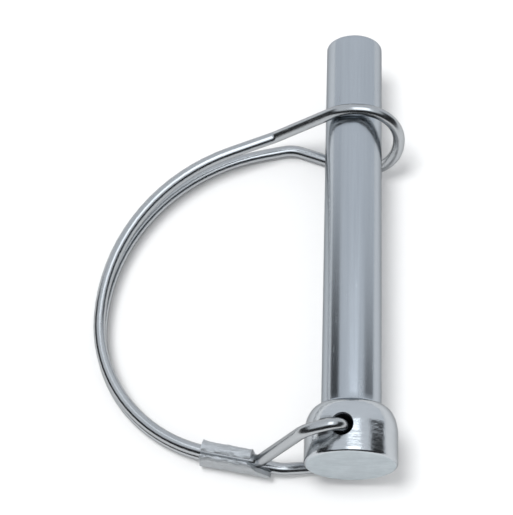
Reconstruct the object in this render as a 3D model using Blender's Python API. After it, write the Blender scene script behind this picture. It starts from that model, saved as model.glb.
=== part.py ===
"""Hitch pin lock: a headed steel pin and the spring wire bail that locks it.

Units are metres, +Z up. The pin lies along +Y with its head at the origin. Both ends of the wire are
hooked into a cross hole in the head, and the wire's eye snaps round the shank near the tip.
"""

import math

import bmesh
import bpy
from mathutils import Matrix, Vector

MM = 0.001

# Pin
SHANK_RADIUS = 4.7625 * MM  # 3/8 in bar
PIN_LENGTH = 76.2 * MM  # 3 in
TIP_ROUND = 0.7 * MM
HEAD_RADIUS = 7.35 * MM
HEAD_STRAIGHT = 5.0 * MM
SHOULDER_LENGTH = 4.2 * MM
NECK_FILLET = 0.5 * MM
FACE_ROUND = 0.35 * MM
TURN_STEPS = 56

# Cross hole in the head
HOLE_Y = 4.4 * MM
HOLE_RADIUS = 1.65 * MM
HOLE_TILT = math.radians(14.0)  # the pin has rolled this far over, so the hole leans to -X
RIM_RADIUS = 1.9 * MM
RIM_DEPTH = 0.25 * MM

# Wire
WIRE_RADIUS = 1.0 * MM
HOOK_TIP = 1.4 * MM  # how far from the hole's middle each hooked end stops
HOOK_OFFSET = -0.15 * MM  # towards the hoop; the ends lean to the far side of the hole
HOOK_Y = HOLE_Y - 0.45 * MM  # and towards the end face
HOOK_HEIGHT = 9.2 * MM  # from the pin's axis to where each end turns into the hole
HOOK_BEND = 2.0 * MM
NODE_GAP = 0.3 * MM  # between the stretches that the one wire is made in
BEND_STEP = math.radians(7.0)

# Ferrule
FERRULE_OUTER = 1.9 * MM  # radius of its rounded top and bottom
FERRULE_INNER = 1.2 * MM
FERRULE_LEFT = -23.2 * MM
FERRULE_RIGHT = -12.0 * MM
MOUTH_TOP = (-16.3 * MM, -4.1 * MM)  # the slanted mouth, as (x, z) at its top and at its foot
MOUTH_FOOT = (-12.0 * MM, -7.9 * MM)


def remove_startup_objects():
    for thing in list(bpy.data.objects):
        bpy.data.objects.remove(thing, do_unlink=True)


def plated_steel(name, colour, roughness):
    material = bpy.data.materials.new(name)
    material.use_nodes = True
    shader = material.node_tree.nodes["Principled BSDF"]
    shader.inputs["Base Color"].default_value = (*colour, 1.0)
    shader.inputs["Metallic"].default_value = 1.0
    shader.inputs["Roughness"].default_value = roughness
    return material


def link(name, data, material):
    piece = bpy.data.objects.new(name, data)
    data.materials.append(material)
    bpy.context.scene.collection.objects.link(piece)
    return piece


def arc(centre, radii, start, end, steps):
    """Points on an ellipse quarter or part of one: (across, along) pairs."""
    turn = (end - start) / steps
    return [
        (
            centre[0] + radii[0] * math.cos(start + turn * i),
            centre[1] + radii[1] * math.sin(start + turn * i),
        )
        for i in range(steps + 1)
    ]


def turned(name, profile, steps):
    """A mesh turned about the Y axis from (radius, y) points that start and end on the axis."""
    shape = bmesh.new()
    points = [shape.verts.new((radius, along, 0.0)) for radius, along in profile]
    edges = [shape.edges.new(pair) for pair in zip(points, points[1:])]
    bmesh.ops.spin(
        shape,
        geom=points + edges,
        cent=(0.0, 0.0, 0.0),
        axis=(0.0, 1.0, 0.0),
        angle=2.0 * math.pi,
        steps=steps,
    )
    bmesh.ops.remove_doubles(shape, verts=shape.verts, dist=1e-7)
    bmesh.ops.recalc_face_normals(shape, faces=shape.faces)
    mesh = bpy.data.meshes.new(name)
    shape.to_mesh(mesh)
    shape.free()
    return mesh


def smooth(piece, angle):
    piece.data.shade_smooth()
    piece.data.set_sharp_from_angle(angle=math.radians(angle))


def hide_cutter(cutter):
    cutter.hide_render = True
    cutter.display_type = "WIRE"


def cut(piece, cutter):
    hide_cutter(cutter)
    difference = piece.modifiers.new(cutter.name, "BOOLEAN")
    difference.operation = "DIFFERENCE"
    difference.solver = "EXACT"
    difference.object = cutter


def pin_profile():
    """From the middle of the end face, out over the head, along the shank and in over the tip."""
    quarter = math.pi / 2.0
    shoulder_rise = HEAD_RADIUS - SHANK_RADIUS - NECK_FILLET
    face = arc((HEAD_RADIUS - FACE_ROUND, FACE_ROUND), (FACE_ROUND,) * 2, -quarter, 0.0, 3)
    shoulder = arc(
        (HEAD_RADIUS - shoulder_rise, HEAD_STRAIGHT),
        (shoulder_rise, SHOULDER_LENGTH),
        0.0,
        math.radians(82.0),
        8,
    )
    neck_y = HEAD_STRAIGHT + SHOULDER_LENGTH + NECK_FILLET
    neck = arc(
        (SHANK_RADIUS + NECK_FILLET, neck_y),
        (NECK_FILLET,) * 2,
        -math.radians(125.0),
        -math.pi,
        3,
    )
    tip = arc(
        (SHANK_RADIUS - TIP_ROUND, PIN_LENGTH - TIP_ROUND), (TIP_ROUND,) * 2, 0.0, quarter, 5
    )
    return [(0.0, 0.0)] + face + shoulder + neck + tip + [(0.0, PIN_LENGTH)]


def hole_profile():
    """Half of the drill's outline, with a countersink at both mouths: (radius, along the hole)."""
    beyond = HEAD_RADIUS + 1.0 * MM
    rim_foot = math.sqrt(HEAD_RADIUS**2 - RIM_RADIUS**2) - RIM_DEPTH
    flare = RIM_RADIUS + (beyond - rim_foot - RIM_DEPTH)
    half = [(flare, beyond), (RIM_RADIUS, rim_foot + RIM_DEPTH), (HOLE_RADIUS, rim_foot)]
    mirrored = [(radius, -along) for radius, along in reversed(half)]
    return [(0.0, beyond)] + half + mirrored + [(0.0, -beyond)]


def make_pin():
    pin = link(
        "pin",
        turned("pin", pin_profile(), TURN_STEPS),
        plated_steel("pin_zinc", (0.62, 0.65, 0.69), 0.34),
    )
    drill = link(
        "cross_hole_cutter", turned("cross_hole_cutter", hole_profile(), 28), pin.active_material
    )
    drill.location = (0.0, HOLE_Y, 0.0)
    drill.rotation_euler = (math.pi / 2.0, 0.0, 0.0)
    drill.rotation_euler.rotate(Matrix.Rotation(-HOLE_TILT, 3, "Y"))
    cut(pin, drill)
    smooth(pin, 32.0)


def in_hole_frame(outward, height, along):
    """A point at this distance from the hole's axis towards the hoop, and this height along the hole."""
    return Vector(
        (
            -outward * math.cos(HOLE_TILT) - height * math.sin(HOLE_TILT),
            along,
            -outward * math.sin(HOLE_TILT) + height * math.cos(HOLE_TILT),
        )
    )


def corner(x, y, z, radius):
    """A corner of a bent wire in millimetres: where its two straights would meet, and the bend's radius."""
    return (Vector((x, y, z)) * MM, radius * MM)


def hook_corner(height, radius):
    return (in_hole_frame(HOOK_OFFSET, height, HOOK_Y), radius)


def bent(corners):
    """The centreline of a wire bent at these corners: straights joined by round bends."""
    path = [corners[0][0]]
    for before, (point, radius), after in zip(corners, corners[1:], corners[2:]):
        inward = (before[0] - point).normalized()
        onward = (after[0] - point).normalized()
        turn = math.pi - inward.angle(onward)
        reach = radius * math.tan(turn / 2.0)
        centre = point + (inward + onward).normalized() * (radius / math.cos(turn / 2.0))
        spoke = point + inward * reach - centre
        axis = spoke.cross(inward).normalized()
        steps = max(2, math.ceil(turn / BEND_STEP))
        for i in range(steps + 1):
            path.append(centre + Matrix.Rotation(-turn * i / steps, 3, axis) @ spoke)
    path.append(corners[-1][0])
    return path


def wire(name, corners, material):
    """One stretch of the wire: a round bar with flat ends along the bent centreline."""
    curve = bpy.data.curves.new(name, "CURVE")
    curve.dimensions = "3D"
    curve.bevel_depth = WIRE_RADIUS
    curve.bevel_resolution = 4
    curve.use_fill_caps = True
    path = bent(corners)
    spline = curve.splines.new("POLY")
    spline.points.add(len(path) - 1)
    for point, place in zip(spline.points, path):
        point.co = (*place, 1.0)
    return link(name, curve, material)


def towards(start, end, x):
    """The point at this x on the straight from start to end."""
    return start.lerp(end, (x - start.x) / (end.x - start.x))


# The two strands of the wire, each as the corners that its straights would meet at.
LOWER_HOOP = corner(-41.4, 6.96, -9.4, 23.0)
LOWER_TOP = corner(-41.4, 53.3, -9.4, 34.1)
UPPER_HOOP = corner(-41.4, 6.96, -6.9, 23.0)
UPPER_TOP = corner(-41.4, 48.6, -4.9, 33.3)
UNDER_HEAD = corner(-3.4, 2.9, -9.4, 8.0)
FERRULE_EXIT = corner(-10.6, 1.85, -8.2, 5.0)
OVER_HEAD = corner(-7.2, 2.95, 7.9, 4.5)
FERRULE_MOUTH = corner(-14.4, 2.3, -6.15, 2.0)
EYE_KINK = corner(-13.4, 60.25, -3.9, 3.0)
EYE_CREST = corner(-2.2, 60.35, 6.05, 6.4)
EYE_NOSE_TOP = corner(7.7, 60.1, 6.05, 6.8)
EYE_NOSE_FOOT = corner(7.7, 55.0, -9.4, 8.2)
EYE_FOOT = corner(-10.2, 60.9, -9.4, 6.0)
UPPER_CUT_X = -7.6 * MM
LOWER_CUT_X = -6.6 * MM


def make_wire():
    zinc = plated_steel("wire_zinc", (0.58, 0.61, 0.64), 0.25)
    upper_cut = towards(EYE_KINK[0], EYE_CREST[0], UPPER_CUT_X)
    lower_cut = towards(EYE_FOOT[0], EYE_NOSE_FOOT[0], LOWER_CUT_X)
    upper_gap = (EYE_CREST[0] - EYE_KINK[0]).normalized() * NODE_GAP
    lower_gap = (EYE_NOSE_FOOT[0] - EYE_FOOT[0]).normalized() * NODE_GAP
    upper = wire(
        "wire_upper_strand",
        [
            hook_corner(HOOK_TIP, 0.0),
            hook_corner(HOOK_HEIGHT, HOOK_BEND),
            OVER_HEAD,
            FERRULE_MOUTH,
            UPPER_HOOP,
            UPPER_TOP,
            EYE_KINK,
            (upper_cut, 0.0),
        ],
        zinc,
    )
    lower = wire(
        "wire_lower_strand",
        [
            hook_corner(-HOOK_TIP, 0.0),
            hook_corner(-HOOK_HEIGHT, HOOK_BEND),
            UNDER_HEAD,
            FERRULE_EXIT,
            LOWER_HOOP,
            LOWER_TOP,
            EYE_FOOT,
            (lower_cut, 0.0),
        ],
        zinc,
    )
    eye = wire(
        "wire_eye",
        [
            (upper_cut + upper_gap, 0.0),
            EYE_CREST,
            EYE_NOSE_TOP,
            EYE_NOSE_FOOT,
            (lower_cut + lower_gap, 0.0),
        ],
        zinc,
    )
    return (upper, lower), eye


def ferrule_bar(name, radius, left, right, material):
    """A bar with round top and bottom, centred on both strands of the wire between these x values."""
    shape = bmesh.new()
    loops = []
    run = (FERRULE_EXIT[0] - LOWER_HOOP[0]).normalized()
    side = run.cross(Vector((0.0, 0.0, 1.0))).normalized()
    rise = side.cross(run)
    for x in (left, right):
        lower = towards(LOWER_HOOP[0], FERRULE_EXIT[0], x)
        upper = towards(UPPER_HOOP[0], FERRULE_MOUTH[0], x)
        top = arc((0.0, 0.0), (radius, radius), 0.0, math.pi, 12)
        bottom = arc((0.0, 0.0), (radius, radius), math.pi, 2.0 * math.pi, 12)
        outline = [upper + side * across + rise * up for across, up in top]
        outline += [lower + side * across + rise * up for across, up in bottom]
        loops.append([shape.verts.new(place) for place in outline])
    for i, near in enumerate(loops[0]):
        j = (i + 1) % len(loops[0])
        shape.faces.new((near, loops[0][j], loops[1][j], loops[1][i]))
    shape.faces.new(loops[0])
    shape.faces.new(loops[1])
    bmesh.ops.recalc_face_normals(shape, faces=shape.faces)
    mesh = bpy.data.meshes.new(name)
    shape.to_mesh(mesh)
    shape.free()
    return link(name, mesh, material)


def mouth_wedge(material):
    """A block whose lower face is the slanted mouth that the upper strand rises out of."""
    slope = math.atan2(MOUTH_FOOT[1] - MOUTH_TOP[1], MOUTH_FOOT[0] - MOUTH_TOP[0])
    size = 16.0 * MM  # larger than the ferrule
    bpy.ops.mesh.primitive_cube_add(size=size)
    wedge = bpy.context.object
    wedge.name = "ferrule_mouth_cutter"
    wedge.data.materials.append(material)
    middle = Vector((MOUTH_TOP[0] + MOUTH_FOOT[0], 0.0, MOUTH_TOP[1] + MOUTH_FOOT[1])) / 2.0
    wedge.rotation_euler = (0.0, -slope, 0.0)
    wedge.location = middle + Vector((-math.sin(slope), 0.0, math.cos(slope))) * (size / 2.0)
    return wedge


def make_ferrule():
    zinc = plated_steel("ferrule_zinc", (0.66, 0.68, 0.7), 0.42)
    ferrule = ferrule_bar("ferrule", FERRULE_OUTER, FERRULE_LEFT, FERRULE_RIGHT, zinc)
    past = 2.0 * MM  # the bore's cutter runs out of both ends
    bore = ferrule_bar(
        "ferrule_bore_cutter", FERRULE_INNER, FERRULE_LEFT - past, FERRULE_RIGHT + past, zinc
    )
    cut(ferrule, bore)
    cut(ferrule, mouth_wedge(zinc))
    smooth(ferrule, 32.0)
    return ferrule


def pivot(name, place, parent=None):
    """An empty with its Z along the cross hole; a child that hangs from it keeps its place."""
    empty = bpy.data.objects.new(name, None)
    bpy.context.scene.collection.objects.link(empty)
    empty.location = place
    empty.rotation_euler = (0.0, -HOLE_TILT, 0.0)
    bpy.context.view_layer.update()
    if parent:
        hang(empty, parent)
    return empty


def hang(piece, parent):
    piece.parent = parent
    piece.matrix_parent_inverse = parent.matrix_world.inverted()
    bpy.context.view_layer.update()


def main():
    remove_startup_objects()
    make_pin()
    strands, eye = make_wire()
    bail_hinge = pivot("bail_hinge", (0.0, HOLE_Y, 0.0))
    eye_slide = pivot("eye_slide", (0.0, EYE_CREST[0].y, 0.0), bail_hinge)
    for piece in (*strands, make_ferrule()):
        hang(piece, bail_hinge)
    hang(eye, eye_slide)


main()
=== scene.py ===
"""Looks of a hitch pin lock: zinc-plated steel pin, spring wire bail and crimped ferrule."""

import math

import bmesh
import bpy
from mathutils import Matrix, Vector, noise


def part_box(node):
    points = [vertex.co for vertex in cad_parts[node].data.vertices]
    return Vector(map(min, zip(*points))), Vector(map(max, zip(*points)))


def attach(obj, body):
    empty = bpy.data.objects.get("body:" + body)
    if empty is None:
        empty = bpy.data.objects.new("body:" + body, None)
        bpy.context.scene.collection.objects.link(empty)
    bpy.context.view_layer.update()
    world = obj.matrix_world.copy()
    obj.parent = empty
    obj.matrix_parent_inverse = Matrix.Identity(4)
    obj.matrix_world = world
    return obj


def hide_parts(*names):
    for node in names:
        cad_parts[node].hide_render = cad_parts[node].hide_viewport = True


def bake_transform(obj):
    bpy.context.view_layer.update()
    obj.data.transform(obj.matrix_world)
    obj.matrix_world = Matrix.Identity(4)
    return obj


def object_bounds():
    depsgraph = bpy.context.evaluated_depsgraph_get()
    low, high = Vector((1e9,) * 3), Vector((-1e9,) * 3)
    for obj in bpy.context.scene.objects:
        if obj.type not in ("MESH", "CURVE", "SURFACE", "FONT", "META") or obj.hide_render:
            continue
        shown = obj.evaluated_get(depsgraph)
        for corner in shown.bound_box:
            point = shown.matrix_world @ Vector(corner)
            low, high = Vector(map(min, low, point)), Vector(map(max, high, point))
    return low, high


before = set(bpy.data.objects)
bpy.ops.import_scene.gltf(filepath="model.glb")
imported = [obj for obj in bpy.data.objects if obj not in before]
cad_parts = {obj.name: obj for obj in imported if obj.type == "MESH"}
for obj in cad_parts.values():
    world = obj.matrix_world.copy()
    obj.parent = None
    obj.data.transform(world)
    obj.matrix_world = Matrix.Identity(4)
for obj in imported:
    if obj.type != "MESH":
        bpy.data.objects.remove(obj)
cad_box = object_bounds()


# The pin is turned from steel bar to a 3/8 in shank and zinc plated all over. Its thick head has a
# rounded shoulder and a sawn end face, and one cross hole is drilled through the head for the
# wire's two hooked ends.
MM = 0.001
SHANK_RADIUS = 4.7625 * MM
PIN_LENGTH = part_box("pin")[1].y
HEAD_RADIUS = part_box("pin")[1].x
HEAD_STRAIGHT = 5.0 * MM  # end face to the start of the rounded shoulder
SHOULDER_LENGTH = 4.2 * MM
HEAD_LENGTH = HEAD_STRAIGHT + SHOULDER_LENGTH
SHOULDER_END = math.radians(83.0)  # how far round its ellipse the shoulder runs
NECK_FILLET = 0.5 * MM
NECK_START = math.radians(-120.0)
FACE_ROUND = 0.5 * MM
TIP_ROUND = 0.75 * MM
QUARTER_TURN = math.pi / 2.0
SHARP_EDGE = math.radians(38.0)

# How many steps each stretch of the outline has, and how many go round the pin.
FACE_STEPS = 14
HEAD_STEPS = 14
SHOULDER_STEPS = 22
FILLET_STEPS = 7
SHANK_STEPS = 70
TIP_EDGE_STEPS = 9
TIP_STEPS = 8
AROUND_PIN = 144

HOLE_Y = 4.4 * MM
HOLE_RADIUS = 1.65 * MM
HOLE_TILT = math.radians(14.0)  # the pin lies rolled over by this much
RIM_ROUND = 0.25 * MM
RIM_END = math.radians(115.0)  # where the rim's round gives way to the drill's flare
RIM_STEPS = 5
DRILL_FLARE = 0.4  # how fast the drill widens beyond the rim, as radius over length
DRILL_OVERRUN = 1.0 * MM
AROUND_HOLE = 64

HEAD_WAVE = 0.05 * MM  # how far the plated head strays from a true turned surface
SHANK_WAVE = 0.006 * MM
HEAD_DENTS = Vector((0.30, 0.22, 0.30))  # waves in a millimetre along each axis
SHANK_DENTS = Vector((0.35, 0.05, 0.35))
WAVE_SET_BACK = 0.6  # share of its depth by which a wave is moved in, so that little stands proud
SEAM_WELD = 1e-7  # joins the first and last points of a turned surface
FACING_OUT = -0.9  # the end face's normals have less than this along Y

# The plate's darkest and palest tone on each surface.
SHANK_TONES = ((0.37, 0.405, 0.445), (0.50, 0.535, 0.57))
HEAD_TONES = ((0.44, 0.47, 0.495), (0.60, 0.625, 0.65))
SAWN_TONES = ((0.51, 0.56, 0.59), (0.68, 0.735, 0.765))
# Inside the cross hole both tones are dark with painted shade.
HOLE_SHADE_TONES = ((0.10, 0.105, 0.12), (0.24, 0.25, 0.27))
ASLANT = (0.45, 0.45, 0.45, 1.0)  # how much the plate mirrors where it is seen aslant


class Signal:
    """One output socket of a material's nodes. Arithmetic on it adds Math nodes."""

    def __init__(self, finish, socket):
        self.finish = finish
        self.socket = socket

    def maths(self, operation, first, second):
        settings = {"operation": operation}
        return self.finish.node("ShaderNodeMath", settings, {0: first, 1: second})

    def __add__(self, other):
        return self.maths("ADD", self, other)

    def __radd__(self, other):
        return self.maths("ADD", other, self)

    def __rsub__(self, other):
        return self.maths("SUBTRACT", other, self)

    def __mul__(self, other):
        return self.maths("MULTIPLY", self, other)

    def __rmul__(self, other):
        return self.maths("MULTIPLY", other, self)


class Finish:
    """A material, and how its nodes are made and fed."""

    def __init__(self, name):
        self.material = bpy.data.materials.new(name)
        self.material.use_nodes = True
        self.tree = self.material.node_tree
        self.surface = self.tree.nodes["Principled BSDF"]

    def feed(self, socket, value):
        if isinstance(value, Signal):
            self.tree.links.new(value.socket, socket)
        else:
            socket.default_value = value

    def node(self, kind, settings, sockets, output=0):
        """A new node, its settings first and then its sockets. A ramp's stops are (place, grey)."""
        made = self.tree.nodes.new(kind)
        for name, value in settings.items():
            if name == "stops":
                for stop, (place, grey) in zip(made.color_ramp.elements, value):
                    stop.position = place
                    stop.color = (grey, grey, grey, 1.0)
            else:
                setattr(made, name, value)
        for name, value in sockets.items():
            self.feed(made.inputs[name], value)
        return Signal(self, made.outputs[output])

    def place(self):
        """Where each point of the surface lies, in metres."""
        return self.node("ShaderNodeTexCoord", {}, {}, output="Object")

    def speckle(self, place, per_mm, detail, roughness=0.5):
        """Noise from 0 to 1, with this many speckles in a millimetre along each axis."""
        per_metre = tuple(rate / MM for rate in per_mm)
        stretched = self.node(
            "ShaderNodeVectorMath", {"operation": "MULTIPLY"}, {0: place, 1: per_metre}
        )
        sockets = {"Vector": stretched, "Scale": 1.0, "Detail": detail, "Roughness": roughness}
        return self.node("ShaderNodeTexNoise", {}, sockets)

    def spread(self, signal, low, high):
        """The stretch of a signal between low and high, as 0 to 1."""
        return self.node("ShaderNodeValToRGB", {"stops": ((low, 0.0), (high, 1.0))}, {0: signal})

    def tint(self, mask, first, second):
        """The first colour where the mask is 0 and the second where it is 1."""
        sockets = {0: mask, 6: (*first, 1.0), 7: (*second, 1.0)}
        return self.node("ShaderNodeMix", {"data_type": "RGBA"}, sockets, output=2)

    def relief(self, height, depth):
        """Bump in which a signal of 1 stands this many metres proud."""
        sockets = {"Height": height, "Distance": depth, "Strength": 1.0}
        return self.node("ShaderNodeBump", {}, sockets)

    def finished(self, colour, roughness, normal, metallic=1.0):
        self.feed(self.surface.inputs["Base Color"], colour)
        self.feed(self.surface.inputs["Roughness"], roughness)
        self.feed(self.surface.inputs["Normal"], normal)
        self.surface.inputs["Metallic"].default_value = metallic
        self.surface.inputs["Specular Tint"].default_value = ASLANT
        return self.material


def zinc_on_shank():
    """Bright plate over drawn bar: faint streaks run the length of the shank."""
    finish = Finish("zinc_on_shank")
    place = finish.place()
    streaks = finish.speckle(place, (2.2, 0.045, 2.2), 4.0)
    clouds = finish.speckle(place, (0.16, 0.06, 0.16), 3.0)
    grain = finish.speckle(place, (9.0, 1.2, 9.0), 3.0)
    scuffs = finish.spread(finish.speckle(place, (1.4, 0.16, 1.4), 6.0, 0.65), 0.62, 0.74)
    colour = finish.tint(0.55 * streaks + 0.45 * clouds, *SHANK_TONES)
    roughness = 0.13 + 0.10 * streaks + 0.06 * clouds + 0.12 * scuffs
    return finish.finished(colour, roughness, finish.relief(grain + 0.7 * streaks, 0.004 * MM))


def zinc_on_head():
    """Plate over a turned surface: fine rings round the head, clouded by tumbling."""
    finish = Finish("zinc_on_head")
    place = finish.place()
    rings = finish.speckle(place, (0.16, 2.2, 0.16), 3.0)
    clouds = finish.speckle(place, (0.34, 0.34, 0.34), 4.0, 0.6)
    pits = finish.speckle(place, (2.0, 2.0, 2.0), 4.0, 0.55)
    colour = finish.tint(0.5 * clouds + 0.3 * rings + 0.2 * pits, *HEAD_TONES)
    roughness = 0.08 + 0.10 * clouds + 0.10 * pits
    dents = finish.relief(0.45 * pits + 0.4 * rings + 1.8 * clouds, 0.030 * MM)
    return finish.finished(colour, roughness, dents)


def zinc_on_sawn_face():
    """Plate over a cropped end: dull, with short scratches across it."""
    finish = Finish("zinc_on_sawn_face")
    place = finish.place()
    scratches = finish.speckle(place, (0.30, 3.0, 3.6), 5.0, 0.65)
    clouds = finish.speckle(place, (0.30, 0.30, 0.42), 5.0, 0.62)
    patches = finish.spread(0.45 * scratches + 0.55 * clouds, 0.36, 0.66)
    colour = finish.tint(patches, *SAWN_TONES)
    roughness = 0.34 + 0.14 * clouds + 0.12 * scratches
    return finish.finished(colour, roughness, finish.relief(scratches + 1.5 * clouds, 0.02 * MM))


def painted_shade_hole_wall():
    """The cross hole's wall: painted shade darkens it, with rings from the drill."""
    finish = Finish("painted_shade_hole_wall")
    place = finish.place()
    rings = finish.speckle(place, (0.3, 0.3, 2.4), 4.0)
    colour = finish.tint(rings, *HOLE_SHADE_TONES)
    return finish.finished(colour, 0.34 + 0.2 * rings, finish.relief(rings, 0.02 * MM))


def arc(centre, radii, start, end, steps):
    """Points on part of an ellipse, as (across, along) pairs."""
    turn = (end - start) / steps
    return [
        (
            centre[0] + radii[0] * math.cos(start + turn * i),
            centre[1] + radii[1] * math.sin(start + turn * i),
        )
        for i in range(steps + 1)
    ]


def straight(start, end, steps):
    """Points between two (across, along) pairs, leaving out both of them."""
    across, along = end[0] - start[0], end[1] - start[1]
    return [
        (start[0] + across * i / steps, start[1] + along * i / steps) for i in range(1, steps)
    ]


def pin_outline():
    """Half of the pin's outline, from the middle of the end face to the middle of the tip."""
    face_middle, tip_middle = (0.0, 0.0), (0.0, PIN_LENGTH)
    rise = HEAD_RADIUS - SHANK_RADIUS - NECK_FILLET
    face_edge = arc(
        centre=(HEAD_RADIUS - FACE_ROUND, FACE_ROUND),
        radii=(FACE_ROUND, FACE_ROUND),
        start=-QUARTER_TURN,
        end=0.0,
        steps=FILLET_STEPS,
    )
    shoulder = arc(
        centre=(HEAD_RADIUS - rise, HEAD_STRAIGHT),
        radii=(rise, SHOULDER_LENGTH),
        start=0.0,
        end=SHOULDER_END,
        steps=SHOULDER_STEPS,
    )
    neck = arc(
        centre=(SHANK_RADIUS + NECK_FILLET, HEAD_LENGTH + NECK_FILLET),
        radii=(NECK_FILLET, NECK_FILLET),
        start=NECK_START,
        end=-math.pi,
        steps=FILLET_STEPS,
    )
    tip_edge = arc(
        centre=(SHANK_RADIUS - TIP_ROUND, PIN_LENGTH - TIP_ROUND),
        radii=(TIP_ROUND, TIP_ROUND),
        start=0.0,
        end=QUARTER_TURN,
        steps=TIP_EDGE_STEPS,
    )
    outline = [face_middle] + straight(face_middle, face_edge[0], FACE_STEPS) + face_edge
    outline += straight(face_edge[-1], shoulder[0], HEAD_STEPS) + shoulder + neck
    outline += straight(neck[-1], tip_edge[0], SHANK_STEPS) + tip_edge
    return outline + straight(tip_edge[-1], tip_middle, TIP_STEPS) + [tip_middle]


def placed(name, shape, materials):
    """The finished bmesh as an object in the scene, smooth but for its sharp edges."""
    mesh = bpy.data.meshes.new(name)
    shape.to_mesh(mesh)
    shape.free()
    for material in materials:
        mesh.materials.append(material)
    mesh.shade_smooth()
    mesh.set_sharp_from_angle(angle=SHARP_EDGE)
    piece = bpy.data.objects.new(name, mesh)
    bpy.context.scene.collection.objects.link(piece)
    return piece


def turned(name, outline, steps, materials):
    """A mesh turned about Y from (radius, along) points that start and end on the axis."""
    shape = bmesh.new()
    points = [shape.verts.new((radius, along, 0.0)) for radius, along in outline]
    edges = [shape.edges.new(pair) for pair in zip(points, points[1:])]
    bmesh.ops.spin(
        shape,
        geom=points + edges,
        cent=(0.0, 0.0, 0.0),
        axis=(0.0, 1.0, 0.0),
        angle=2.0 * math.pi,
        steps=steps,
    )
    bmesh.ops.remove_doubles(shape, verts=shape.verts, dist=SEAM_WELD)
    bmesh.ops.recalc_face_normals(shape, faces=shape.faces)
    return placed(name, shape, materials)


def hole_outline():
    """Half of the drill's outline, flaring at both mouths so that the rims come out rounded."""
    beyond = HEAD_RADIUS + DRILL_OVERRUN
    rim_height = math.sqrt(HEAD_RADIUS**2 - (HOLE_RADIUS + RIM_ROUND) ** 2)
    rim = arc(
        centre=(HOLE_RADIUS + RIM_ROUND, rim_height - RIM_ROUND),
        radii=(RIM_ROUND, RIM_ROUND),
        start=math.pi,
        end=RIM_END,
        steps=RIM_STEPS,
    )
    mouth = (rim[-1][0] + (beyond - rim[-1][1]) * DRILL_FLARE, beyond)
    upper = [mouth] + rim[::-1]
    lower = [(radius, -along) for radius, along in reversed(upper)]
    return [(0.0, beyond)] + upper + lower + [(0.0, -beyond)]


def weathered(mesh):
    """Moves each point of the pin a little along its radius, more on the head than on the shank."""
    for vertex in mesh.vertices:
        place = vertex.co / MM
        on_head = place.y < HEAD_LENGTH / MM
        depth, dents = (HEAD_WAVE, HEAD_DENTS) if on_head else (SHANK_WAVE, SHANK_DENTS)
        outward = Vector((vertex.co.x, 0.0, vertex.co.z)).normalized()
        vertex.co += outward * depth * (noise.noise(place * dents) - WAVE_SET_BACK)


def finish_faces(mesh):
    """Slot 0 is the shank, 1 the head and 2 the sawn end face."""
    for face in mesh.polygons:
        if face.normal.y < FACING_OUT and face.center.y < FACE_ROUND:
            face.material_index = 2
        elif face.center.y < HEAD_LENGTH:
            face.material_index = 1


pin_finishes = [zinc_on_shank(), zinc_on_head(), zinc_on_sawn_face()]
pin = turned("pin_body", pin_outline(), AROUND_PIN, pin_finishes)
weathered(pin.data)
finish_faces(pin.data)
drill = turned("cross_hole_drill", hole_outline(), AROUND_HOLE, [painted_shade_hole_wall()])
drill.location = (0.0, HOLE_Y, 0.0)
drill.rotation_euler = (QUARTER_TURN, 0.0, 0.0)
drill.rotation_euler.rotate(Matrix.Rotation(-HOLE_TILT, 3, "Y"))
bpy.context.view_layer.update()
drilled = pin.modifiers.new("cross_hole", "BOOLEAN")
drilled.operation = "DIFFERENCE"
drilled.solver = "EXACT"
drilled.material_mode = "TRANSFER"
drilled.object = drill
with bpy.context.temp_override(object=pin, active_object=pin, selected_objects=[pin]):
    bpy.ops.object.modifier_apply(modifier=drilled.name)
bpy.data.objects.remove(drill)
pin.data.set_sharp_from_angle(angle=SHARP_EDGE)
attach(pin, "pin")
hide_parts("pin")


# The bail is one length of 2 mm spring wire, drawn, bent and then zinc plated. Both of its ends
# hook into the cross hole. The two strands run one above the other round the hoop, and are one
# wire with the eye that snaps round the shank.
WIRE_RADIUS = 0.985 * MM  # a hair under, so that round wire stays inside the faceted CAD's box
HOOK_TIP = 1.4 * MM  # how far from the hole's middle each hooked end stops
HOOK_OFFSET = 0.15 * MM  # the hooks' line lies this far off the hole's axis, away from the hoop
HOOK_Y = HOLE_Y - 0.45 * MM  # and a little nearer the end face
HOOK_HEIGHT = 9.2 * MM  # from the hole's middle to where each hook bends over
HOOK_BEND = 2.0 * MM
CROPPED_EDGE = 0.18 * MM
AROUND_WIRE = 28
BEND_STEP = math.radians(4.0)
RING_SPACING = 0.8 * MM
WIRE_TONES = ((0.37, 0.39, 0.405), (0.51, 0.525, 0.54))


def corner(x, y, z, radius):
    """Where two straights of the wire would meet, and the bend's radius, in millimetres."""
    return (Vector((x, y, z)) * MM, radius * MM)


def hook_corner(height, radius):
    """A corner on the hooks' line through the cross hole, this far along it, in metres."""
    x = HOOK_OFFSET * math.cos(HOLE_TILT) - height * math.sin(HOLE_TILT)
    z = HOOK_OFFSET * math.sin(HOLE_TILT) + height * math.cos(HOLE_TILT)
    return (Vector((x, HOOK_Y, z)), radius)


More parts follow.
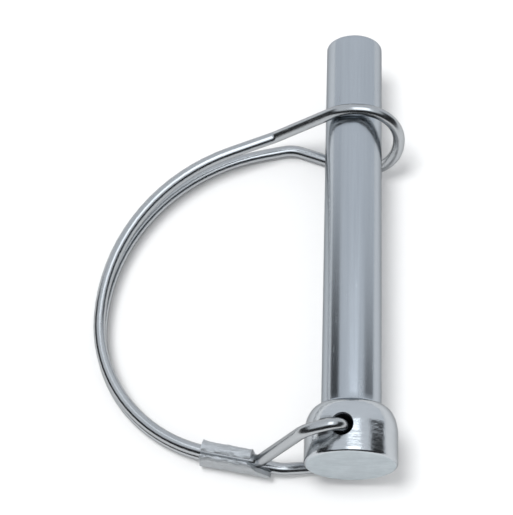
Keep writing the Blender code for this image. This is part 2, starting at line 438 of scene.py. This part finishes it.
LOWER_HOOP = corner(-41.4, 6.96, -9.4, 23.0)
LOWER_TOP = corner(-41.4, 53.3, -9.4, 34.1)
UPPER_HOOP = corner(-41.4, 6.96, -6.9, 23.0)
UPPER_TOP = corner(-41.4, 48.6, -4.9, 33.3)
UNDER_HEAD = corner(-3.4, 2.9, -9.4, 8.0)
FERRULE_EXIT = corner(-10.6, 1.85, -8.2, 5.0)
OVER_HEAD = corner(-7.2, 2.95, 7.9, 4.5)
FERRULE_MOUTH = corner(-14.4, 2.3, -6.15, 2.0)
EYE_KINK = corner(-13.4, 60.25, -3.9, 1.7)
EYE_CREST = corner(-2.2, 60.35, 6.05, 6.4)
EYE_NOSE_TOP = corner(7.7, 60.1, 6.05, 6.8)
EYE_NOSE_FOOT = corner(7.7, 55.0, -9.4, 8.2)
EYE_FOOT = corner(-10.2, 60.9, -9.4, 6.0)
WIRE_CORNERS = [
    hook_corner(HOOK_TIP, 0.0),
    hook_corner(HOOK_HEIGHT, HOOK_BEND),
    OVER_HEAD,
    FERRULE_MOUTH,
    UPPER_HOOP,
    UPPER_TOP,
    EYE_KINK,
    EYE_CREST,
    EYE_NOSE_TOP,
    EYE_NOSE_FOOT,
    EYE_FOOT,
    LOWER_TOP,
    LOWER_HOOP,
    FERRULE_EXIT,
    UNDER_HEAD,
    hook_corner(-HOOK_HEIGHT, HOOK_BEND),
    hook_corner(-HOOK_TIP, 0.0),
]


def run_to(path, end):
    """Adds a straight run to the path, ending at this point."""
    start = path[-1]
    steps = max(1, math.ceil((end - start).length / RING_SPACING))
    path.extend(start.lerp(end, i / steps) for i in range(1, steps + 1))


def bent(corners):
    """The wire's centreline: straights joined by round bends."""
    path = [corners[0][0]]
    for before, (point, radius), after in zip(corners, corners[1:], corners[2:]):
        inward = (before[0] - point).normalized()
        onward = (after[0] - point).normalized()
        turn = math.pi - inward.angle(onward)
        centre = point + (inward + onward).normalized() * (radius / math.cos(turn / 2.0))
        spoke = point + inward * radius * math.tan(turn / 2.0) - centre
        axis = spoke.cross(inward).normalized()
        steps = max(3, math.ceil(turn / BEND_STEP))
        run_to(path, centre + spoke)
        for i in range(1, steps + 1):
            path.append(centre + Matrix.Rotation(-turn * i / steps, 3, axis) @ spoke)
    run_to(path, corners[-1][0])
    return path


def drawn_wire(name, path, material):
    """A round bar along the path. Each point keeps how far along and around the wire it lies."""
    shape = bmesh.new()
    lay = shape.verts.layers.float_vector.new("lay")
    ways = [(after - before).normalized() for before, after in zip(path, path[1:])]
    ways = [ways[0]] + [(a + b).normalized() for a, b in zip(ways, ways[1:])] + [ways[-1]]
    side = ways[0].orthogonal().normalized()
    # Each ring has its middle, its radius and its place in the path. The wire is cropped at both
    # ends, and the cut's edge is a little worn.
    worn, last = WIRE_RADIUS - CROPPED_EDGE, len(path) - 1
    stations = [(path[0], worn, 0), (path[0] + ways[0] * CROPPED_EDGE, WIRE_RADIUS, 0)]
    stations += [(place, WIRE_RADIUS, i) for i, place in enumerate(path[1:-1], 1)]
    stations.append((path[-1] - ways[-1] * CROPPED_EDGE, WIRE_RADIUS, last))
    stations.append((path[-1], worn, last))
    rings, travelled, previous = [], 0.0, path[0]
    for place, radius, i in stations:
        side = (side - ways[i] * side.dot(ways[i])).normalized()
        other = ways[i].cross(side)
        travelled += (place - previous).length
        previous = place
        ring = []
        for j in range(AROUND_WIRE):
            angle = 2.0 * math.pi * j / AROUND_WIRE
            across, up = math.cos(angle), math.sin(angle)
            vertex = shape.verts.new(place + (side * across + other * up) * radius)
            vertex[lay] = (WIRE_RADIUS * across, WIRE_RADIUS * up, travelled)
            ring.append(vertex)
        rings.append(ring)
    for ring, following in zip(rings, rings[1:]):
        for j in range(AROUND_WIRE):
            k = (j + 1) % AROUND_WIRE
            shape.faces.new((ring[j], ring[k], following[k], following[j]))
    shape.faces.new(rings[0][::-1])
    shape.faces.new(rings[-1])
    bmesh.ops.recalc_face_normals(shape, faces=shape.faces)
    return placed(name, shape, [material])


def zinc_on_wire():
    """Bright plate over drawn wire: hair-fine die lines along it, and rubbed patches."""
    finish = Finish("zinc_on_wire")
    lie = finish.node("ShaderNodeAttribute", {"attribute_name": "lay"}, {}, output="Vector")
    die_lines = finish.speckle(lie, (3.4, 3.4, 0.03), 3.0)
    clouds = finish.speckle(lie, (0.4, 0.4, 0.16), 3.0, 0.6)
    rubs = finish.spread(finish.speckle(lie, (1.1, 1.1, 0.5), 5.0, 0.6), 0.58, 0.72)
    colour = finish.tint(0.4 * die_lines + 0.6 * clouds, *WIRE_TONES)
    roughness = 0.14 + 0.08 * clouds + 0.08 * die_lines + 0.10 * rubs
    lines = finish.relief(0.6 * die_lines + 0.5 * clouds, 0.008 * MM)
    return finish.finished(colour, roughness, lines)


wire = drawn_wire("wire_bail", bent(WIRE_CORNERS), zinc_on_wire())
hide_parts("wire_upper_strand", "wire_lower_strand", "wire_eye")
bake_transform(wire)


# The ferrule is a short strip of zinc-plated steel sheet, folded round both strands and crimped,
# so that its two flaps meet in a seam on top. Towards the head both flaps are cut away, where the
# upper strand rises out of it.
SHEET = 0.75 * MM
FERRULE_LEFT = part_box("ferrule")[0].x
FERRULE_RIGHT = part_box("ferrule")[1].x
FERRULE_BORE = 1.05 * MM
SEAM_TURN = math.radians(24.0)  # the seam lies this far round towards the end face
SEAM_GAP = 0.26 * MM
BACK_FLAP_END = -15.7 * MM  # beyond this x the back flap is cut down, over a short step
BACK_FLAP_STEP = 0.5 * MM
BACK_FLAP_CUT = 0.9  # share of the side's height that the cut takes
MOUTH_START = -16.2 * MM  # beyond this x the front flap slopes down to the mouth
FRONT_FLAP_CUT = 0.55
FRONT_BEND_CUT = 1.35  # how much of the front bend the slope takes, in radians
SLANT = 1.7 * MM  # how much shorter the sheet is underneath than half way up
SLANT_RUN = 4.0 * MM
FLARE = 0.1 * MM  # how far both ends open out
FLARE_RUN = 1.2 * MM
MOUTH_FLARE = 0.8  # the mouth's share of it
PINCH = 0.28 * MM  # how far the tool pressed both flaps in beside the seam
PINCH_RUN = 1.1 * MM
HAMMERED = 0.11 * MM
DENTS_ALONG = 0.8  # hammer dents in a millimetre
DENTS_AROUND = 1.9
SMALL_DENTS = 2.1  # how much finer the small dents are than the large ones
SMALL_DENT_DEPTH = 0.7
DENT_SET_BACK = 0.75  # as WAVE_SET_BACK on the pin
DENT_PATTERN = 3.0  # picks one pattern of dents out of many
ALONG_FERRULE = 90
ROUND_FERRULE = 84
SHEET_TONES = ((0.42, 0.445, 0.465), (0.70, 0.72, 0.735))
WORN_EDGE = 0.1 * MM
WORN_EDGE_STEPS = 3
WORN_EDGE_ANGLE = math.radians(50.0)


def on_strand(start, end, x):
    """The point at this x on the straight from start to end."""
    return start.lerp(end, (x - start.x) / (end.x - start.x))


def ease(x, start, end):
    """0 before start, 1 after end, and a smooth rise between them."""
    t = min(max((x - start) / (end - start), 0.0), 1.0)
    return t * t * (3.0 - 2.0 * t)


def fold(distance, radius, height):
    """Where the sheet is, this far round from the seam by way of the back: its turn from the top,
    and how far up from the lower strand to the upper one it lies, from 0 to 1."""
    back, side = radius * (QUARTER_TURN + SEAM_TURN), height
    lower = back + side + math.pi * radius
    if distance < back:
        return SEAM_TURN - distance / radius, 1.0
    if distance < back + side:
        return -QUARTER_TURN, 1.0 - (distance - back) / side
    if distance < lower:
        return -QUARTER_TURN - (distance - back - side) / radius, 0.0
    if distance < lower + side:
        return -1.5 * math.pi, (distance - lower) / side
    return -1.5 * math.pi - (distance - lower - side) / radius, 1.0


def folded_sheet(name, material):
    """The strip, swept along both strands, with an outer and an inner skin."""
    run = (FERRULE_EXIT[0] - LOWER_HOOP[0]).normalized()
    front = Vector((0.0, 0.0, -1.0)).cross(run).normalized()
    rise = run.cross(front).normalized()
    if rise.z < 0.0:
        rise = -rise
    if front.y > 0.0:
        front = -front
    shape = bmesh.new()
    shells = {FERRULE_BORE + SHEET: [], FERRULE_BORE: []}
    middle = FERRULE_BORE + SHEET / 2.0
    for i in range(ALONG_FERRULE + 1):
        x = FERRULE_LEFT + (FERRULE_RIGHT - FERRULE_LEFT) * i / ALONG_FERRULE
        upper = on_strand(UPPER_HOOP[0], FERRULE_MOUTH[0], x)
        lower = on_strand(LOWER_HOOP[0], FERRULE_EXIT[0], x)
        height = (upper - lower).length
        around = 2.0 * math.pi * middle + 2.0 * height
        opened = ease(x, BACK_FLAP_END, BACK_FLAP_END + BACK_FLAP_STEP)
        back_cut = middle * (QUARTER_TURN + SEAM_TURN) + BACK_FLAP_CUT * height
        back_edge = SEAM_GAP + opened * back_cut
        dropped = max(0.0, (x - MOUTH_START) / (FERRULE_RIGHT - MOUTH_START))
        front_cut = middle * FRONT_BEND_CUT + FRONT_FLAP_CUT * height
        front_edge = around - SEAM_GAP - dropped * front_cut
        left_flare = ease(x, FERRULE_LEFT + FLARE_RUN, FERRULE_LEFT)
        flare = FLARE * (left_flare + dropped * MOUTH_FLARE)
        shortened = ease(x, FERRULE_RIGHT - SLANT_RUN, FERRULE_RIGHT)
        for radius, rows in shells.items():
            row = []
            for j in range(ROUND_FERRULE + 1):
                distance = back_edge + (front_edge - back_edge) * j / ROUND_FERRULE
                turn, share = fold(distance, middle, height)
                outward = rise * math.cos(turn) + front * math.sin(turn)
                place = lower.lerp(upper, share) + outward * (radius + flare)
                dent = Vector((x / MM * DENTS_ALONG, distance / MM * DENTS_AROUND, DENT_PATTERN))
                dents = noise.noise(dent) + SMALL_DENT_DEPTH * noise.noise(dent * SMALL_DENTS)
                pinch = ease(min(distance, around - distance), PINCH_RUN, 0.0)
                place += outward * (HAMMERED * (dents - DENT_SET_BACK) - PINCH * pinch)
                below = max(0.0, -(place - lower.lerp(upper, 0.5)).dot(rise))
                place -= run * SLANT * (below / (middle + height / 2.0)) * shortened
                row.append(shape.verts.new(place))
            rows.append(row)
    outer, inner = shells.values()
    for i in range(ALONG_FERRULE):
        k = i + 1
        for j in range(ROUND_FERRULE):
            shape.faces.new((outer[i][j], outer[i][j + 1], outer[k][j + 1], outer[k][j]))
            shape.faces.new((inner[i][j], inner[k][j], inner[k][j + 1], inner[i][j + 1]))
        for j in (0, ROUND_FERRULE):
            shape.faces.new((outer[i][j], outer[k][j], inner[k][j], inner[i][j]))
    for i in (0, ALONG_FERRULE):
        for j in range(ROUND_FERRULE):
            shape.faces.new((outer[i][j], outer[i][j + 1], inner[i][j + 1], inner[i][j]))
    bmesh.ops.recalc_face_normals(shape, faces=shape.faces)
    return placed(name, shape, [material])


def zinc_on_crimped_sheet():
    """Plate over hammered sheet: mottled by the crimping tool, duller than the wire."""
    finish = Finish("zinc_on_crimped_sheet")
    place = finish.place()
    mottle = finish.speckle(place, (0.7, 1.9, 1.9), 5.0, 0.62)
    grain = finish.speckle(place, (5.0, 5.0, 5.0), 4.0, 0.6)
    colour = finish.tint(0.7 * mottle + 0.3 * grain, *SHEET_TONES)
    roughness = 0.30 + 0.18 * mottle + 0.08 * grain
    return finish.finished(colour, roughness, finish.relief(mottle + 0.2 * grain, 0.26 * MM))


ferrule = folded_sheet("crimped_ferrule", zinc_on_crimped_sheet())
edge = ferrule.modifiers.new("worn_edges", "BEVEL")
edge.width = WORN_EDGE
edge.segments = WORN_EDGE_STEPS
edge.limit_method = "ANGLE"
edge.angle_limit = WORN_EDGE_ANGLE
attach(ferrule, "bail")
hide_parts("ferrule")


# The table is a plain sheet of white card. The ferrule rests on it, the hoop and the eye all but
# touch it, and they hold the pin clear of it.
TABLE_SIZE = 6.0
TABLE_GAP = 0.02 * MM
TABLE_TOP = cad_box[0].z - TABLE_GAP
CARD_TONES = ((0.895, 0.90, 0.905), (0.91, 0.912, 0.915))


def white_card():
    """Matt paper with a trace of fibres, and no shine at all."""
    finish = Finish("white_card")
    place = finish.place()
    fibres = finish.speckle(place, (0.5, 0.5, 0.5), 4.0)
    finish.surface.inputs["Specular IOR Level"].default_value = 0.0
    tooth = finish.relief(fibres, 0.002 * MM)
    return finish.finished(finish.tint(fibres, *CARD_TONES), 0.95, tooth, metallic=0.0)


sheet = bmesh.new()
bmesh.ops.create_grid(sheet, x_segments=2, y_segments=2, size=TABLE_SIZE / 2.0)
table = placed("table", sheet, [white_card()])
table.location.z = TABLE_TOP


# The lock lies in a round light tent of pale cloth, with a strip light overhead, a dark card at its
# left and right and a dark side where the viewer stands. It shows only in the metal. The table is
# lit by the pale room, and by a round key light overhead and a little to the left.
OBJECT_MIDDLE = Vector((-18.0, 34.0, 0.0)) * MM
TENT_RADIUS = 0.9
TENT_SEGMENTS = 96
CLOTH_GLOW = 0.84
STRIP_GLOW = 1.9
DARK_GLOW = 0.03
CLOTH_TINT = (0.955, 0.995, 1.045)
OPEN = 2.0  # beyond every direction, for a band with no edge on that side
KEY_DIRECTION = Vector((-0.21, -0.05, 0.97))
KEY_DISTANCE = 0.8
KEY_SIZE = 0.28
KEY_POWER = 3.8
ROOM_GREY = (0.70, 0.705, 0.71, 1.0)


def band(signal, low, high, soft):
    """1 between low and high and 0 outside, with edges that reach this far to either side."""
    smooth = {"interpolation_type": "SMOOTHSTEP"}
    rising, falling = (
        signal.finish.node(
            "ShaderNodeMapRange", smooth, {0: signal, 1: edge - soft, 2: edge + soft}
        )
        for edge in (low, high)
    )
    return rising * (1 - falling)


def tent_glow():
    """How brightly each part of the tent glows, by the direction it is seen in from the lock."""
    finish = Finish("tent_cloth")
    place = finish.place()
    way = finish.node("ShaderNodeVectorMath", {"operation": "NORMALIZE"}, {0: place})
    x, y, z = (
        finish.node("ShaderNodeSeparateXYZ", {}, {"Vector": way}, output=axis) for axis in "XYZ"
    )
    strip = band(x, -0.13, 0.34, 0.04) * band(y, -0.44, 0.285, 0.02) * band(z, 0.5, OPEN, 0.1)
    viewer = band(y, -OPEN, -0.58, 0.05)
    left = band(x, -OPEN, -0.4, 0.1) * band(z, -1.0, 0.58, 0.06) * band(y, -OPEN, 0.435, 0.035)
    right = band(x, 0.4, OPEN, 0.1) * band(z, 0.06, 0.68, 0.06) * band(y, -OPEN, 0.36, 0.025)
    lit = (1 - viewer) * (1 - left) * (1 - right)
    glow = CLOTH_GLOW * lit + STRIP_GLOW * strip + DARK_GLOW
    tinted = finish.node(
        "ShaderNodeVectorMath", {"operation": "SCALE"}, {0: CLOTH_TINT, "Scale": glow}
    )
    finish.feed(finish.surface.inputs["Emission Color"], tinted)
    finish.surface.inputs["Emission Strength"].default_value = 1.0
    finish.surface.inputs["Base Color"].default_value = (0.0, 0.0, 0.0, 1.0)
    finish.surface.inputs["Specular IOR Level"].default_value = 0.0
    return finish.material


dome = bmesh.new()
bmesh.ops.create_uvsphere(
    dome, u_segments=TENT_SEGMENTS, v_segments=TENT_SEGMENTS // 2, radius=TENT_RADIUS
)
tent = placed("light_tent", dome, [tent_glow()])
tent.location = OBJECT_MIDDLE
tent.visible_camera = False
tent.visible_diffuse = False
tent.visible_shadow = False

lamp = bpy.data.lights.new("key_light", "AREA")
lamp.shape = "DISK"
lamp.size = KEY_SIZE
lamp.energy = KEY_POWER
key_light = bpy.data.objects.new("key_light", lamp)
key_light.location = OBJECT_MIDDLE + KEY_DIRECTION.normalized() * KEY_DISTANCE
key_light.rotation_euler = KEY_DIRECTION.to_track_quat("Z", "Y").to_euler()
key_light.visible_camera = False
key_light.visible_glossy = False
bpy.context.scene.collection.objects.link(key_light)

room = bpy.data.worlds.new("pale_room")
room.use_nodes = True
room.node_tree.nodes["Background"].inputs["Color"].default_value = ROOM_GREY
room.node_tree.nodes["Background"].inputs["Strength"].default_value = 1.0
bpy.context.scene.world = room
bpy.context.scene.view_settings.view_transform = "Standard"


# The camera looks down on the lock from the head's end, 64 degrees above the table. It stands
# about 27 cm away, so the pin narrows a little towards its tip.
CAMERA_PLACE = Vector((-11.225, -81.052, 243.846)) * MM
CAMERA_ELEVATION = math.radians(64.48)
CAMERA_AZIMUTH = math.radians(2.233)
CAMERA_ROLL = math.radians(-0.384)
SENSOR_WIDTH = 36.0
LENS = 115.13
NEAREST_SEEN = 5.0 * MM

camera = bpy.data.objects.new("camera", bpy.data.cameras.new("camera"))
bpy.context.scene.collection.objects.link(camera)
camera.matrix_world = (
    Matrix.Translation(CAMERA_PLACE)
    @ Matrix.Rotation(CAMERA_AZIMUTH, 4, "Z")
    @ Matrix.Rotation(QUARTER_TURN - CAMERA_ELEVATION, 4, "X")
    @ Matrix.Rotation(CAMERA_ROLL, 4, "Z")
)
camera.data.sensor_width = SENSOR_WIDTH
camera.data.lens = LENS
camera.data.clip_start = NEAREST_SEEN
bpy.context.scene.camera = camera

bpy.context.view_layer.update()
